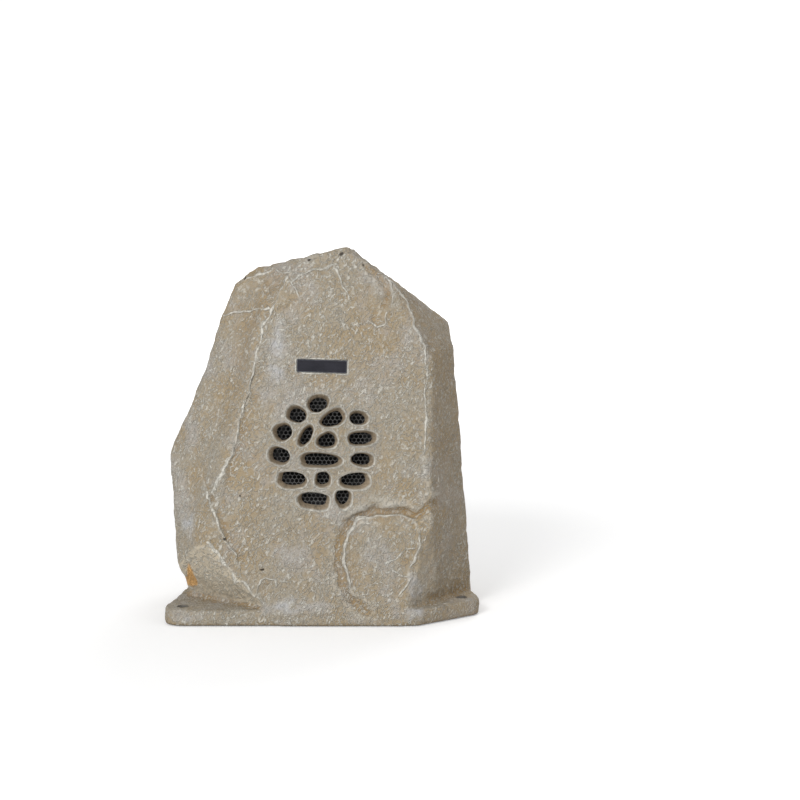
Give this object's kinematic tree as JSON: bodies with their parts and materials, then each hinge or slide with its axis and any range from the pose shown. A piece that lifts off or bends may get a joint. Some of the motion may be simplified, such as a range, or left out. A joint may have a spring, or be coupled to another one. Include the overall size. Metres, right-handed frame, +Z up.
{
  "type": "garden speaker",
  "caption": "Rock-shaped outdoor loudspeaker: a moulded stone-like shell with irregular sound openings, screw-down lugs and a cone driver fed by a line transformer.",
  "frame": {"origin": "middle of the bounding box, on the ground plane the rim stands on", "axes": "+Z up, the grille and name plate face -Y, +X to the right as the front is seen"},
  "size_m": [0.348, 0.2798, 0.4113],
  "materials": {
    "cast_resin": "moulded stone texture, dry-brushed paint",
    "plate_black": "satin black, bare",
    "mesh_black": "matt black powder coat",
    "foam_black": "closed-cell foam",
    "basket_black": "satin black",
    "screw_steel": "zinc plated",
    "surround_rubber": "matt black",
    "cone_paper": "pressed black pulp",
    "cap_paper": "pressed black pulp",
    "former_aluminium": "plain foil",
    "copper_wire": "enamelled copper",
    "spider_cloth": "resin-stiffened cotton",
    "plate_steel": "zinc plated",
    "ferrite": "sintered ferrite, ground faces",
    "tag_board": "phenolic sheet",
    "tag_tin": "tinned",
    "cover_plastic": "textured black",
    "inlet_rubber": "moulded black",
    "core_steel": "varnished laminations",
    "bobbin_nylon": "natural nylon",
    "strap_steel": "zinc plated",
    "block_nylon": "natural nylon",
    "insert_brass": "turned",
    "lead_sleeve": "black sleeve"
  },
  "bodies": {
    "housing": {"rock_shell": "cast_resin", "name_plate": "plate_black", "grille_mesh": "mesh_black", "driver_gasket": "foam_black", "base_gasket": "foam_black", "driver_basket": "basket_black", "driver_screws": "screw_steel", "base_screws": "screw_steel", "transformer_screws": "screw_steel", "driver_surround": "surround_rubber", "transformer_winding": "copper_wire", "driver_spider": "spider_cloth", "magnet_top_plate": "plate_steel", "magnet_pole_plate": "plate_steel", "magnet_ring": "ferrite", "driver_tag_board": "tag_board", "driver_tags": "tag_tin", "base_plate": "cover_plastic", "cable_grommet": "inlet_rubber", "transformer_core": "core_steel", "transformer_bobbin": "bobbin_nylon", "transformer_strap": "strap_steel", "terminal_block": "block_nylon", "terminal_inserts": "insert_brass", "driver_lead": "lead_sleeve"},
    "moving_coil": {"driver_cone": "cone_paper", "driver_dust_cap": "cap_paper", "coil_former": "former_aluminium", "coil_winding": "copper_wire"}
  },
  "joints": [
    {"name": "cone_travel", "type": "slide", "parent": "housing", "child": "moving_coil", "axis": [0, -0.9903, 0.1392], "range_m": [-0.003, 0.003], "stiffness_N_per_m": 1500, "deforming": ["driver_surround", "driver_spider"]}
  ]
}
